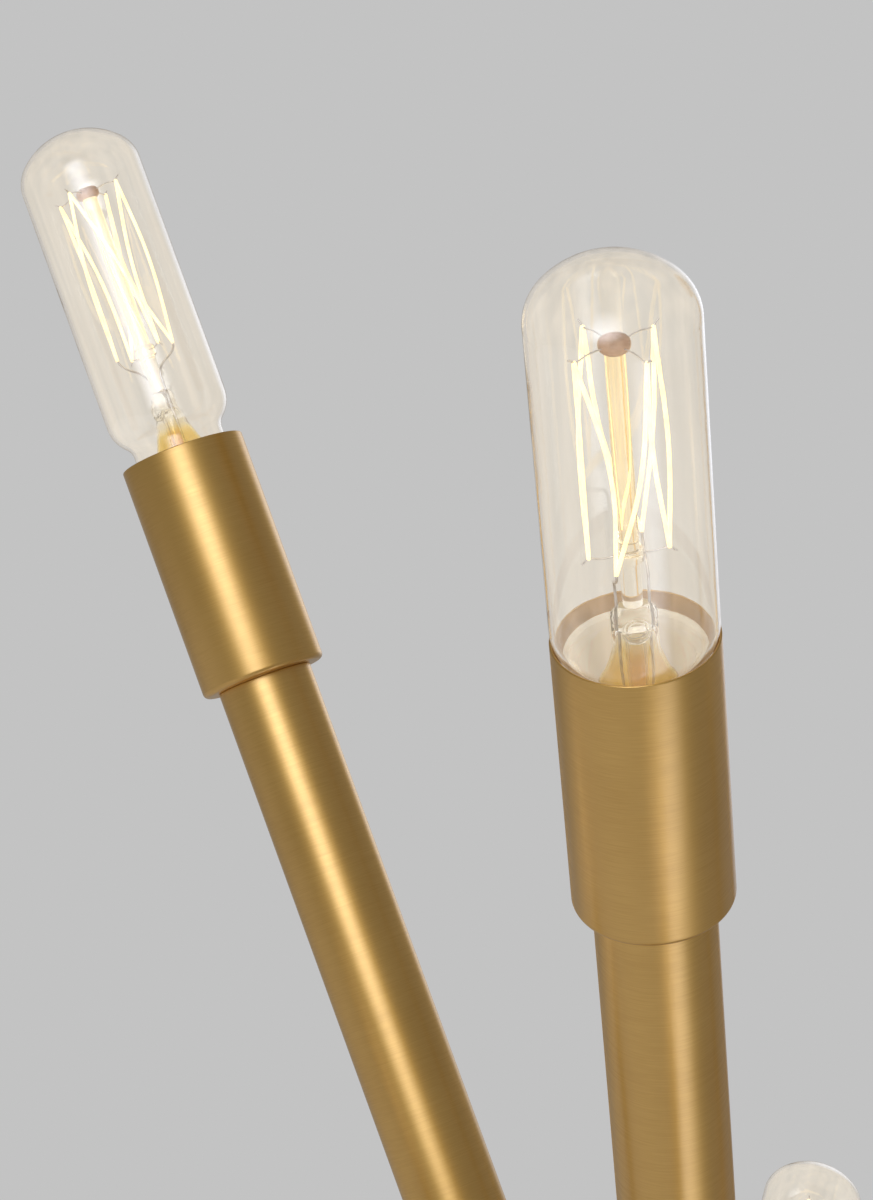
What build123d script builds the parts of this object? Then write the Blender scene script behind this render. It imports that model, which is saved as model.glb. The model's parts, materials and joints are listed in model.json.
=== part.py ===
# Eight-light two-tier chandelier with straight leaning arms, in millimetres, +Z up, ceiling plane at Z = 0
import os
from math import acos, atan2, cos, degrees, radians, sin, sqrt

from build123d import *

os.makedirs("parts", exist_ok=True)

# Plan of the arms
arm_lean = 39.0
arm_cross = 68.0
lower_twist = 32.0
ceiling_to_hub = 650.0
tier_drop = 235.0
hub_to_rim = 414.0

# Arm tubes and their hollow nipples
arm_d = 25.4
arm_wall = 1.2
arm_plug = 12.0
arm_gap = 2.0
seat_margin = 0.3
nipple_d = 10.0
nipple_bore = 6.0
nipple_head_d = 14.0
nipple_head = 4.0
nipple_grip = 10.0
nipple_room = 1.0
thread_gap = 0.05
wire_d = 2.4
wire_end_gap = 6.0

# Socket cups and lampholders
cup_d = 33.4
cup_height = 64.0
cup_wall = 0.5
cup_floor = 1.5
cup_edge = 1.5
holder_wall = 1.0
holder_base = 9.5
holder_below_rim = 3.2
holder_lead = 0.8
cap_gap = 0.4

# Tubular lamps
bulb_d = 33.2
rim_gap = 0.15
bulb_show = 82.5
loose_lamp = 3
loose_lift = 9.5
dome_height = 12.5
dome_corner = 9.5
glass_wall = 0.8
shoulder_r = 9.0
neck_step = 4.15
cap_length = 27.0
cap_wall = 0.7
cement_gap = 0.2
cap_tip_d = 9.0
cap_tip = 1.5
cap_cone = 3.5
cap_skirt = 7.5
thread_turns = 4
thread_depth = 0.8

# Glass mount and filament cage inside each lamp
stem_tube_r = 4.6
exhaust_r = 1.5
exhaust_hole_r = 1.2
exhaust_above_rim = 2.5
press_above_rim = 8.0
press_taper = 2.0
rod_r = 2.0
bead_r = 2.7
bead_above_rim = 18.0
bead_height = 3.0
button_r = 3.1
button_below_tip = 16.0
button_height = 3.0
cage_top_r = 9.3
cage_foot_r = 7.8
cage_hooks = 4
strand_r = 0.45
hook_r = 0.3
foot_lean = 28.0
top_lean = 16.0
lead_r = 3.1

# Hubs, stem and column
hub_wall = 12.0
hub_seam = 0.5
hub_flat = 2.0
stem_d = 16.0
stem_wall = 1.5
socket_wall = 3.0
socket_depth = 18.0
tie_grip = 7.0
column_plug = 14.0
finial_d = 22.0
finial_length = 34.0
finial_waist_d = 15.0
finial_head = 8.0
finial_round = 3.0

# Canopy, strap and swivel
strap_length = 110.0
strap_width = 22.0
strap_thickness = 2.5
slot_width = 5.2
slot_length = 12.0
slot_margin = 4.55
locknut_flats = 14.0
locknut_height = 3.5
canopy_d = 130.0
canopy_height = 26.0
canopy_wall = 1.0
canopy_round = 10.0
ring_d = 22.0
ring_height = 6.0
yoke_d = 26.0
yoke_top = 5.0
yoke_gap = 0.3
yoke_slot = 14.4
hang_head_d = 13.6
hang_head = 3.0
eye_side_gap = 0.3
eye_r = 10.0
eye_top_gap = 2.0
ear_below_pin = 9.0
eye_neck = 18.0
eye_collar_d = 20.0
eye_collar = 8.0
eye_spigot = 12.0
pin_d = 6.0
pin_gap = 0.05
pin_inset = 0.4

# Sizes worked out from the ones above
arm_r = arm_d / 2
half_angle_sine = sin(radians(arm_lean)) * sin(radians(arm_cross / 2))
hub_seat = (arm_d + arm_gap) / (2 * half_angle_sine)
hub_r = sqrt(hub_seat**2 + (arm_r + seat_margin) ** 2)
hub_hollow_r = hub_r - hub_wall
nipple_seat = hub_hollow_r + nipple_room
hub_foot = hub_r - hub_flat
socket_floor = hub_hollow_r + tie_grip
stem_r = stem_d / 2
socket_r = stem_r + thread_gap
tie_r = nipple_d / 2
tie_hole_r = tie_r + thread_gap

cup_base = hub_to_rim - cup_height
bulb_r = bulb_d / 2
cup_r = cup_d / 2
cup_bore_r = cup_r - cup_wall
neck_r = bulb_r - neck_step
cap_bore_r = neck_r + cement_gap
cap_r = cap_bore_r + cap_wall
holder_bore_r = cap_r + cap_gap
holder_r = holder_bore_r + holder_wall
holder_foot = cup_base + cup_floor
cap_foot = holder_foot + holder_base
cap_top = cap_foot + cap_length
neck_foot = cap_top - cap_skirt + cap_wall + cement_gap
bulb_tip = hub_to_rim + bulb_show
shoulder_centre = bulb_r - shoulder_r
shoulder_top = hub_to_rim + sqrt((shoulder_r + rim_gap) ** 2 - (cup_bore_r - shoulder_centre) ** 2)
button_foot = bulb_tip - button_below_tip - button_height
bead_foot = hub_to_rim + bead_above_rim
press_top = hub_to_rim + press_above_rim
cage_top = button_foot + button_height / 2
cage_foot = bead_foot + bead_height / 2

strap_foot = -strap_thickness
slot_spacing = strap_length - slot_length - 2 * slot_margin
canopy_foot = -canopy_height
ring_foot = canopy_foot - ring_height
yoke_head = ring_foot - yoke_gap
hang_head_top = yoke_head - yoke_top
hang_foot = hang_head_top - hang_head
pin_height = hang_foot - eye_top_gap - eye_r
ear_foot = pin_height - ear_below_pin
collar_top = pin_height - eye_neck
stem_top = collar_top - eye_collar
upper_hub = -ceiling_to_hub
lower_hub = upper_hub - tier_drop
stem_foot = upper_hub + socket_floor
column_top = upper_hub - hub_foot
column_foot = lower_hub + socket_floor


def arm_place(hub_height, azimuth):
    """Frame of one arm: origin in the hub's centre, local Z out along the arm."""
    return Pos(0, 0, hub_height) * Rot(0, 0, azimuth) * Rot(0, arm_lean, 0)


def tier_azimuths(twist):
    """The four arm directions of one tier, crossing in plan like a letter X."""
    return [twist + side + half * arm_cross / 2 for side in (0, 180) for half in (-1, 1)]


tiers = {"upper": (upper_hub, 0.0), "lower": (lower_hub, lower_twist)}
light_places = [
    arm_place(height, azimuth) for height, twist in tiers.values() for azimuth in tier_azimuths(twist)
]
tier_places = [arm_place(0.0, azimuth) for azimuth in tier_azimuths(0.0)]
lamp_places = [
    place * Pos(0, 0, loose_lift if number == loose_lamp else 0.0)
    for number, place in enumerate(light_places, start=1)
]


def save(shape, name):
    """Writes one named node."""
    shape.label = name
    export_step(shape, f"parts/{name}.step")


def save_each(shape, name, places):
    """Writes one node for each light, numbered from 1."""
    for number, place in enumerate(places, start=1):
        save(place * shape, f"{name}_{number}")


def rod(start, end, radius):
    """A round rod from point to point, fused into the open part."""
    start, end = Vector(*start), Vector(*end)
    with Locations(Plane(origin=start, z_dir=end - start).location):
        Cylinder(radius, (end - start).length, align=(Align.CENTER, Align.CENTER, Align.MIN))


# Mounting strap on the ceiling box
with BuildPart() as mounting_strap:
    with BuildSketch(Plane.XY.offset(strap_foot)):
        SlotOverall(strap_length, strap_width)
        Circle(tie_hole_r, mode=Mode.SUBTRACT)
        with Locations((-slot_spacing / 2, 0), (slot_spacing / 2, 0)):
            SlotOverall(slot_length, slot_width, mode=Mode.SUBTRACT)
    extrude(amount=strap_thickness)
save(mounting_strap.part, "mounting_strap")

# Hollow hanging bolt through strap, canopy, ring and swivel
with BuildPart() as hanging_bolt:
    Cylinder(tie_r, -hang_head_top, align=(Align.CENTER, Align.CENTER, Align.MAX))
    with Locations((0, 0, hang_head_top)):
        Cylinder(hang_head_d / 2, hang_head, align=(Align.CENTER, Align.CENTER, Align.MAX))
    Cylinder(nipple_bore / 2, -hang_foot, align=(Align.CENTER, Align.CENTER, Align.MAX), mode=Mode.SUBTRACT)
save(hanging_bolt.part, "hanging_bolt")

# Locknut under the strap
with BuildPart() as strap_locknut:
    with BuildSketch(Plane.XY.offset(strap_foot - locknut_height)):
        RegularPolygon(locknut_flats / 2, 6, major_radius=False)
        Circle(tie_hole_r, mode=Mode.SUBTRACT)
    extrude(amount=locknut_height)
save(strap_locknut.part, "strap_locknut")

# Spun canopy with a rounded shoulder
with BuildPart() as canopy:
    with BuildSketch(Plane.XZ):
        with Locations((0, canopy_foot)):
            Rectangle(canopy_d / 2, canopy_height, align=(Align.MIN, Align.MIN))
        fillet(vertices().sort_by_distance((canopy_d / 2, canopy_foot))[0], canopy_round)
    revolve(axis=Axis.Z)
    with BuildSketch(Plane.XZ):
        with Locations((0, canopy_foot + canopy_wall)):
            Rectangle(canopy_d / 2 - canopy_wall, canopy_height, align=(Align.MIN, Align.MIN))
        inner_corner = (canopy_d / 2 - canopy_wall, canopy_foot + canopy_wall)
        fillet(vertices().sort_by_distance(inner_corner)[0], canopy_round - canopy_wall)
    revolve(axis=Axis.Z, mode=Mode.SUBTRACT)
    with Locations((0, 0, canopy_foot)):
        Cylinder(tie_hole_r, 2 * canopy_wall, mode=Mode.SUBTRACT)
save(canopy.part, "canopy")

# Round nut that holds the canopy up
with BuildPart() as canopy_ring:
    with Locations((0, 0, canopy_foot)):
        Cylinder(ring_d / 2, ring_height, align=(Align.CENTER, Align.CENTER, Align.MAX))
        Cylinder(tie_hole_r, ring_height, align=(Align.CENTER, Align.CENTER, Align.MAX), mode=Mode.SUBTRACT)
    chamfer(canopy_ring.edges().filter_by(GeomType.CIRCLE).sort_by(SortBy.RADIUS)[-2:], hub_seam)
save(canopy_ring.part, "canopy_ring")

# Swivel yoke that turns on the hanging bolt
with BuildPart() as swivel_yoke:
    with Locations((0, 0, yoke_head)):
        Cylinder(yoke_d / 2, yoke_head - ear_foot, align=(Align.CENTER, Align.CENTER, Align.MAX))
        Cylinder(tie_hole_r, yoke_top, align=(Align.CENTER, Align.CENTER, Align.MAX), mode=Mode.SUBTRACT)
    with Locations((0, 0, hang_head_top)):
        Box(
            yoke_slot,
            yoke_d,
            hang_head_top - ear_foot,
            align=(Align.CENTER, Align.CENTER, Align.MAX),
            mode=Mode.SUBTRACT,
        )
    with Locations(Location((0, 0, pin_height), (0, 90, 0))):
        Cylinder(pin_d / 2 + pin_gap, yoke_d, mode=Mode.SUBTRACT)
save(swivel_yoke.part, "swivel_yoke")

# Cross pin of the swivel
with BuildPart() as swivel_pin:
    with Locations(Location((0, 0, pin_height), (0, 90, 0))):
        Cylinder(pin_d / 2, yoke_d - 2 * pin_inset)
save(swivel_pin.part, "swivel_pin")

# Eye on the pin, with the collar that carries the stem
with BuildPart() as stem_eye:
    eye_thickness = yoke_slot - 2 * eye_side_gap
    with BuildSketch(Plane.YZ):
        with Locations((0, pin_height)):
            Circle(eye_r)
            Rectangle(2 * eye_r, eye_neck, align=(Align.CENTER, Align.MAX))
    extrude(amount=eye_thickness / 2, both=True)
    with Locations((0, 0, collar_top)):
        Cylinder(eye_collar_d / 2, eye_collar, align=(Align.CENTER, Align.CENTER, Align.MAX))
    with Locations((0, 0, stem_top)):
        Cylinder(stem_r - stem_wall - thread_gap, eye_spigot, align=(Align.CENTER, Align.CENTER, Align.MAX))
    with Locations(Location((0, 0, pin_height), (0, 90, 0))):
        Cylinder(pin_d / 2 + pin_gap, yoke_d, mode=Mode.SUBTRACT)
save(stem_eye.part, "stem_eye")

# Stem tube down to the upper hub
with BuildPart() as stem:
    with Locations((0, 0, stem_top)):
        Cylinder(stem_r, stem_top - stem_foot, align=(Align.CENTER, Align.CENTER, Align.MAX))
        Cylinder(
            stem_r - stem_wall,
            stem_top - stem_foot,
            align=(Align.CENTER, Align.CENTER, Align.MAX),
            mode=Mode.SUBTRACT,
        )
save(stem.part, "stem")

# Column tube between the hubs, with a threaded plug at its top
with BuildPart() as column:
    with BuildSketch(Plane.XZ):
        Polygon(
            (tie_hole_r, column_top),
            (stem_r, column_top),
            (stem_r, column_foot),
            (stem_r - stem_wall, column_foot),
            (stem_r - stem_wall, column_top - column_plug),
            (tie_hole_r, column_top - column_plug),
            align=None,
        )
    revolve(axis=Axis.Z)
save(column.part, "column")

# Upper half of a ball hub: stem socket, wire chamber and four arm seats
with BuildPart() as hub_body:
    Sphere(hub_r, arc_size1=0, align=Align.NONE)
    with Locations((0, 0, hub_hollow_r)):
        collar_height = socket_floor + socket_depth - hub_hollow_r
        Cylinder(socket_r + socket_wall, collar_height, align=(Align.CENTER, Align.CENTER, Align.MIN))
    Sphere(hub_hollow_r, mode=Mode.SUBTRACT)
    Cylinder(tie_hole_r, hub_r, align=(Align.CENTER, Align.CENTER, Align.MIN), mode=Mode.SUBTRACT)
    with Locations((0, 0, socket_floor)):
        Cylinder(socket_r, hub_r, align=(Align.CENTER, Align.CENTER, Align.MIN), mode=Mode.SUBTRACT)
    with Locations(*[place * Pos(0, 0, hub_seat) for place in tier_places]):
        Cylinder(
            arm_r + seat_margin, hub_r, align=(Align.CENTER, Align.CENTER, Align.MIN), mode=Mode.SUBTRACT
        )
    with Locations(*tier_places):
        Cylinder(tie_hole_r, hub_r, align=(Align.CENTER, Align.CENTER, Align.MIN), mode=Mode.SUBTRACT)
        Cylinder(
            nipple_head_d / 2 + nipple_room,
            nipple_seat,
            align=(Align.CENTER, Align.CENTER, Align.MIN),
            mode=Mode.SUBTRACT,
        )
    chamfer(hub_body.edges().group_by(Axis.Z)[0].sort_by(SortBy.RADIUS)[-1], hub_seam)

# Lower half of a ball hub: a cover held on by the tie
with BuildPart() as hub_cover:
    Sphere(hub_r, arc_size2=0, align=Align.NONE)
    Sphere(hub_hollow_r, mode=Mode.SUBTRACT)
    with Locations((0, 0, -hub_foot)):
        Cylinder(hub_r, hub_r, align=(Align.CENTER, Align.CENTER, Align.MAX), mode=Mode.SUBTRACT)
    Cylinder(tie_hole_r, hub_r, align=(Align.CENTER, Align.CENTER, Align.MAX), mode=Mode.SUBTRACT)
    chamfer(hub_cover.edges().group_by(Axis.Z)[-1].sort_by(SortBy.RADIUS)[-1], hub_seam)

# Threaded tie through each hub
tie_top = socket_floor - thread_gap
tie_length = tie_top + hub_foot + column_plug
with BuildPart() as hub_tie:
    with Locations((0, 0, tie_top)):
        Cylinder(tie_r, tie_length, align=(Align.CENTER, Align.CENTER, Align.MAX))
        Cylinder(
            nipple_bore / 2,
            tie_length,
            align=(Align.CENTER, Align.CENTER, Align.MAX),
            mode=Mode.SUBTRACT,
        )

for tier_name, (tier_height, tier_twist) in tiers.items():
    tier_turn = Pos(0, 0, tier_height) * Rot(0, 0, tier_twist)
    save(tier_turn * hub_body.part, f"{tier_name}_hub_body")
    save(tier_turn * hub_cover.part, f"{tier_name}_hub_cover")
    save(tier_turn * hub_tie.part, f"{tier_name}_hub_tie")

# Turned finial under the lower hub
finial_top = lower_hub - hub_foot
finial_foot = finial_top - finial_length
with BuildPart() as finial:
    with BuildSketch(Plane.XZ):
        Polygon(
            (tie_hole_r, finial_top),
            (finial_d / 2, finial_top),
            (finial_d / 2, finial_top - finial_head),
            (finial_waist_d / 2, finial_top - finial_head),
            (finial_waist_d / 2, finial_foot),
            (0, finial_foot),
            (0, finial_top - column_plug),
            (tie_hole_r, finial_top - column_plug),
            align=None,
        )
        outer_corners = [(finial_d / 2, finial_top - finial_head), (finial_waist_d / 2, finial_foot)]
        fillet([vertices().sort_by_distance(corner)[0] for corner in outer_corners], finial_round)
    revolve(axis=Axis.Z)
save(finial.part, "finial")

# Arm tube with a brazed plug in each end
with BuildPart() as arm_tube:
    with BuildSketch(Plane.XZ):
        Polygon(
            (tie_hole_r, hub_seat),
            (arm_r, hub_seat),
            (arm_r, cup_base),
            (tie_hole_r, cup_base),
            (tie_hole_r, cup_base - arm_plug),
            (arm_r - arm_wall, cup_base - arm_plug),
            (arm_r - arm_wall, hub_seat + arm_plug),
            (tie_hole_r, hub_seat + arm_plug),
            align=None,
        )
    revolve(axis=Axis.Z)
save_each(arm_tube.part, "arm_tube", light_places)

# Hollow bolt from the wire chamber into each arm
with BuildPart() as arm_nipple:
    with BuildSketch(Plane.XZ):
        Polygon(
            (nipple_bore / 2, nipple_seat - nipple_head),
            (nipple_head_d / 2, nipple_seat - nipple_head),
            (nipple_head_d / 2, nipple_seat),
            (tie_r, nipple_seat),
            (tie_r, hub_seat + nipple_grip),
            (nipple_bore / 2, hub_seat + nipple_grip),
            align=None,
        )
    revolve(axis=Axis.Z)
with BuildPart() as arm_nipples:
    with Locations(*light_places):
        add(arm_nipple.part)
save(arm_nipples.part, "arm_nipples")

# Socket cup drawn from sheet, bolted down by the lampholder
with BuildPart() as socket_cup:
    with BuildSketch(Plane.XZ):
        Polygon(
            (tie_hole_r, cup_base),
            (cup_r, cup_base),
            (cup_r, hub_to_rim),
            (cup_bore_r, hub_to_rim),
            (cup_bore_r, holder_foot),
            (tie_hole_r, holder_foot),
            align=None,
        )
        fillet(vertices().sort_by_distance((cup_r, cup_base))[0], cup_edge)
    revolve(axis=Axis.Z)
save_each(socket_cup.part, "socket_cup", light_places)

# Lampholder with its screw shell and threaded foot
holder_top = hub_to_rim - holder_below_rim
with BuildPart() as lampholder:
    with BuildSketch(Plane.XZ):
        Polygon(
            (nipple_bore / 2, cup_base - nipple_grip),
            (tie_r, cup_base - nipple_grip),
            (tie_r, holder_foot),
            (holder_r, holder_foot),
            (holder_r, holder_top),
            (holder_bore_r + holder_lead, holder_top),
            (holder_bore_r, holder_top - holder_lead),
            (holder_bore_r, cap_foot),
            (0, cap_foot),
            (0, holder_foot),
            (nipple_bore / 2, holder_foot),
            align=None,
        )
    revolve(axis=Axis.Z)
with BuildPart() as lampholders:
    with Locations(*light_places):
        add(lampholder.part)
save(lampholders.part, "lampholders")

# Lead wire in each arm, from the wire chamber to the lampholder
wire_start = nipple_seat - nipple_head - wire_end_gap
with BuildPart() as lead_wire:
    with Locations((0, 0, wire_start)):
        Cylinder(wire_d / 2, holder_foot - wire_start, align=(Align.CENTER, Align.CENTER, Align.MIN))
with BuildPart() as lead_wires:
    with Locations(*light_places):
        add(lead_wire.part)
save(lead_wires.part, "lead_wires")

# Screw cap of the lamp: tip, insulating cone, rolled thread and skirt
thread_foot = cap_foot + cap_tip + cap_cone
thread_pitch = (cap_length - cap_tip - cap_cone - cap_skirt) / thread_turns
with BuildPart() as bulb_cap:
    with BuildSketch(Plane.XZ):
        with BuildLine():
            Polyline((0, cap_foot), (cap_tip_d / 2, cap_foot), (cap_tip_d / 2, cap_foot + cap_tip))
            Line((cap_tip_d / 2, cap_foot + cap_tip), (cap_r - thread_depth, thread_foot))
            for turn in range(thread_turns):
                low = (cap_r - thread_depth, thread_foot + turn * thread_pitch)
                crest = (cap_r, thread_foot + (turn + 0.5) * thread_pitch)
                high = (cap_r - thread_depth, thread_foot + (turn + 1) * thread_pitch)
                ThreePointArc(low, crest, high)
            Polyline(
                (cap_r - thread_depth, cap_top - cap_skirt),
                (cap_r, cap_top - cap_skirt),
                (cap_r, cap_top),
                (cap_bore_r, cap_top),
                (cap_bore_r, neck_foot - cement_gap),
                (0, neck_foot - cement_gap),
                (0, cap_foot),
            )
        make_face()
    revolve(axis=Axis.Z)
save_each(bulb_cap.part, "bulb_cap", lamp_places)

# Glass of the lamp: tubular bulb, rounded shoulder, neck, and the mount fused inside it
outer_turn = degrees(acos((neck_r - shoulder_centre) / shoulder_r))
inner_shoulder_r = shoulder_r - glass_wall
inner_neck_r = neck_r - glass_wall
inner_turn = degrees(acos((inner_neck_r - shoulder_centre) / inner_shoulder_r))
outer_neck_top = shoulder_top - shoulder_r * sin(radians(outer_turn))
inner_neck_top = shoulder_top - inner_shoulder_r * sin(radians(inner_turn))
dome_foot = bulb_tip - dome_height
corner_centre = bulb_r - dome_corner
crown_r = (corner_centre**2 + dome_height**2 - dome_corner**2) / (2 * (dome_height - dome_corner))
corner_turn = degrees(atan2(crown_r - dome_height, corner_centre))
flare_top = neck_foot + 2 * glass_wall
exhaust_height = hub_to_rim + exhaust_above_rim
exhaust_top = exhaust_height + 2 * exhaust_hole_r
hook_step = 360 / cage_hooks
with BuildPart() as bulb_glass:
    with BuildSketch(Plane.XZ):
        with BuildLine():
            Polyline((exhaust_r, neck_foot), (neck_r, neck_foot), (neck_r, outer_neck_top))
            CenterArc((shoulder_centre, shoulder_top), shoulder_r, -outer_turn, outer_turn)
            Line((bulb_r, shoulder_top), (bulb_r, dome_foot))
            CenterArc((corner_centre, dome_foot), dome_corner, 0, corner_turn)
            CenterArc((0, bulb_tip - crown_r), crown_r, corner_turn, 90 - corner_turn)
            Line((0, bulb_tip), (0, bulb_tip - glass_wall))
            CenterArc((0, bulb_tip - crown_r), crown_r - glass_wall, corner_turn, 90 - corner_turn)
            CenterArc((corner_centre, dome_foot), dome_corner - glass_wall, 0, corner_turn)
            Line((bulb_r - glass_wall, dome_foot), (bulb_r - glass_wall, shoulder_top))
            CenterArc((shoulder_centre, shoulder_top), inner_shoulder_r, -inner_turn, inner_turn)
            Polyline(
                (inner_neck_r, inner_neck_top),
                (inner_neck_r, flare_top),
                (stem_tube_r, flare_top + stem_tube_r),
                (stem_tube_r, press_top),
                (rod_r, press_top + press_taper),
                (rod_r, bead_foot),
                (bead_r, bead_foot),
                (bead_r, bead_foot + bead_height),
                (rod_r, bead_foot + bead_height),
                (rod_r, button_foot),
                (button_r, button_foot),
                (button_r, button_foot + button_height),
                (0, button_foot + button_height),
                (0, exhaust_top),
                (exhaust_r, exhaust_top),
                (exhaust_r, neck_foot),
            )
        make_face()
    revolve(axis=Axis.Z)
    with Locations(Rot(0, 0, hook_step / 2) * Location((0, 0, exhaust_height), (0, 90, 0))):
        Cylinder(
            exhaust_hole_r,
            2 * stem_tube_r,
            align=(Align.CENTER, Align.CENTER, Align.MIN),
            mode=Mode.SUBTRACT,
        )
save_each(bulb_glass.part, "bulb_glass", lamp_places)


def ring_point(radius, angle, height):
    """A point at an angle round the lamp's axis."""
    return (radius * cos(radians(angle)), radius * sin(radians(angle)), height)


# Filament cage: strands zigzag between the button's hooks, the bead's hooks and the two leads
with BuildPart() as bulb_filament:
    for hook in range(cage_hooks):
        on_lead = hook % 2 == 0
        top_angle = hook * hook_step - top_lean
        foot_angle = (hook + 0.5) * hook_step - (foot_lean if on_lead else 0)
        foot = ring_point(cage_foot_r, foot_angle, cage_foot)
        with Locations(foot):
            Sphere(strand_r)
        for strand_angle in (top_angle, top_angle + hook_step):
            rod(ring_point(cage_top_r, strand_angle, cage_top), foot, strand_r)
        top = ring_point(cage_top_r, top_angle, cage_top)
        with Locations(top):
            Sphere(strand_r)
        rod(ring_point(rod_r, top_angle, cage_top), top, hook_r)
        if on_lead:
            rod(ring_point(lead_r, (hook - 0.5) * hook_step, press_top), foot, hook_r)
        else:
            rod(ring_point(rod_r, foot_angle, cage_foot), foot, hook_r)
save_each(bulb_filament.part, "bulb_filament", lamp_places)
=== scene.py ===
"""Dresses the two-tier chandelier: brushed brass, glass lamps with a filament cage, and the studio."""

import json
from math import acos, atan2, cos, hypot, pi, radians, sin, tau

import bmesh
import bpy
from bpy.props import FloatProperty, FloatVectorProperty, IntProperty, PointerProperty
from mathutils import Matrix, Vector


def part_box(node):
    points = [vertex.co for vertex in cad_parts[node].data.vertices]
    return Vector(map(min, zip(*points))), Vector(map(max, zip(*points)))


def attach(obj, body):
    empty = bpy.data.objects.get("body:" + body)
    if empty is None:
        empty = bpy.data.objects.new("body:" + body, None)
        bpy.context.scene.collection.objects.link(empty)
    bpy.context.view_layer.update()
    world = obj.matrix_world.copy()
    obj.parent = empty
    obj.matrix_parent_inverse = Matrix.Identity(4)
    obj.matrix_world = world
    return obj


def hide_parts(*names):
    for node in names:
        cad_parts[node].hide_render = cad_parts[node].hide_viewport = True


bl_info = {
    "name": "Two-tier chandelier dressing",
    "version": (1, 0, 0),
    "blender": (4, 5, 0),
    "location": "View3D > Sidebar > Chandelier",
    "description": "Builds the brass, the lamps and the studio round the packed chandelier",
    "category": "Add Mesh",
}

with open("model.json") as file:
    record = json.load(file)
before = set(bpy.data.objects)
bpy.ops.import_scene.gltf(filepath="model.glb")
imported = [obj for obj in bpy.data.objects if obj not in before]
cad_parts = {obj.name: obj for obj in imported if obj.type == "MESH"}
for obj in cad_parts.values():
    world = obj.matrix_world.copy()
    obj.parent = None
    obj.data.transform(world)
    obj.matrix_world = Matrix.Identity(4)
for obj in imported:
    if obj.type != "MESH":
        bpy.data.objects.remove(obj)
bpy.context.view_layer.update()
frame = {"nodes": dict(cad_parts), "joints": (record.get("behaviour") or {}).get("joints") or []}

MM = 0.001
LIGHTS = range(1, 9)
UPPER_LIGHTS = 4
TURNED = "turned_place"
SHARP_ANGLE = radians(38)
MERGE_GAP = 0.002 * MM
SLIVER = 0.001 * MM
SMALL_TURN_STEPS = 48
WIDE_TURN_STEPS = 128
NOISE_LOW, NOISE_HIGH = 0.3, 0.7


# Where each light stands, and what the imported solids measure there
def light_place(number):
    """Frame of one light: origin in its hub's centre, Z out along the arm, Y level."""
    joint = next(j for j in frame["joints"] if j["name"] == f"bulb_{number}_out")
    tier = "upper" if number <= UPPER_LIGHTS else "lower"
    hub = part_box(f"{tier}_hub_body")[0].z
    out = Vector(joint["axis"]).normalized()
    level = Vector((0, 0, 1)).cross(out).normalized()
    side = level.cross(out)
    turn = Matrix((side, level, out)).transposed().to_4x4()
    return Matrix.Translation((0, 0, hub)) @ turn


def reach(node, place):
    """Lowest height, highest height and largest radius of a CAD node in a light's frame."""
    back = place.inverted()
    points = [back @ v.co for v in frame["nodes"][node].data.vertices]
    heights = [p.z for p in points]
    return min(heights), max(heights), max(hypot(p.x, p.y) for p in points)


PLACES = {number: light_place(number) for number in LIGHTS}
ARM_FOOT, ARM_TOP, ARM_R = reach("arm_tube_1", PLACES[1])
CUP_FOOT, CUP_RIM, CUP_R = reach("socket_cup_1", PLACES[1])
NECK_FOOT, GLASS_TIP, GLASS_R = reach("bulb_glass_1", PLACES[1])
CAP_FOOT, CAP_TOP, CAP_R = reach("bulb_cap_1", PLACES[1])


def lamp_place(number):
    """Frame of one lamp: its light's, raised where the lamp isn't screwed home."""
    lift = reach(f"bulb_glass_{number}", PLACES[number])[1] - GLASS_TIP
    return PLACES[number] @ Matrix.Translation((0, 0, lift))


LAMP_PLACES = {number: lamp_place(number) for number in LIGHTS}


class BrassSettings(bpy.types.PropertyGroup):
    """Sizes and tones of the brushed brass pieces"""

    arm_wall: FloatProperty(
        name="Arm wall", description="Wall of an arm tube", default=1.2 * MM,
        subtype="DISTANCE", unit="LENGTH",
    )
    arm_plug: FloatProperty(
        name="Arm plug", description="Length of the plug in each end of an arm", default=12.0 * MM,
        subtype="DISTANCE", unit="LENGTH",
    )
    cup_wall: FloatProperty(
        name="Cup wall", description="Wall of a socket cup", default=0.5 * MM,
        subtype="DISTANCE", unit="LENGTH",
    )
    cup_floor: FloatProperty(
        name="Cup floor", description="Floor of a socket cup", default=1.5 * MM,
        subtype="DISTANCE", unit="LENGTH",
    )
    cup_edge: FloatProperty(
        name="Cup edge", description="Rounding at a cup's foot", default=1.5 * MM,
        subtype="DISTANCE", unit="LENGTH",
    )
    rim_round: FloatProperty(
        name="Rim rounding", description="Rounding of a cup's rim", default=0.28 * MM,
        subtype="DISTANCE", unit="LENGTH",
    )
    bolt_hole: FloatProperty(
        name="Bolt hole", description="Radius of the hole in arm and cup ends", default=5.05 * MM,
        subtype="DISTANCE", unit="LENGTH",
    )
    light_tone: FloatVectorProperty(
        name="Light tone", description="Brass between the brush lines", default=(0.62, 0.365, 0.085),
        subtype="COLOR",
    )
    dark_tone: FloatVectorProperty(
        name="Dark tone", description="Brass along the brush lines", default=(0.54, 0.305, 0.06),
        subtype="COLOR",
    )
    edge_tone: FloatVectorProperty(
        name="Edge tone", description="Tint of the brass where it turns away", default=(0.94, 0.69, 0.26),
        subtype="COLOR",
    )
    lacquer: FloatProperty(
        name="Lacquer", description="Weight of the clear lacquer", default=1.0,
        subtype="FACTOR", min=0, max=1,
    )
    lacquer_roughness: FloatProperty(
        name="Lacquer roughness", description="Roughness of the clear lacquer", default=0.25,
        subtype="FACTOR", min=0, max=1,
    )
    lacquer_ior: FloatProperty(
        name="Lacquer index", description="Refractive index of the clear lacquer", default=1.56, min=1
    )


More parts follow.
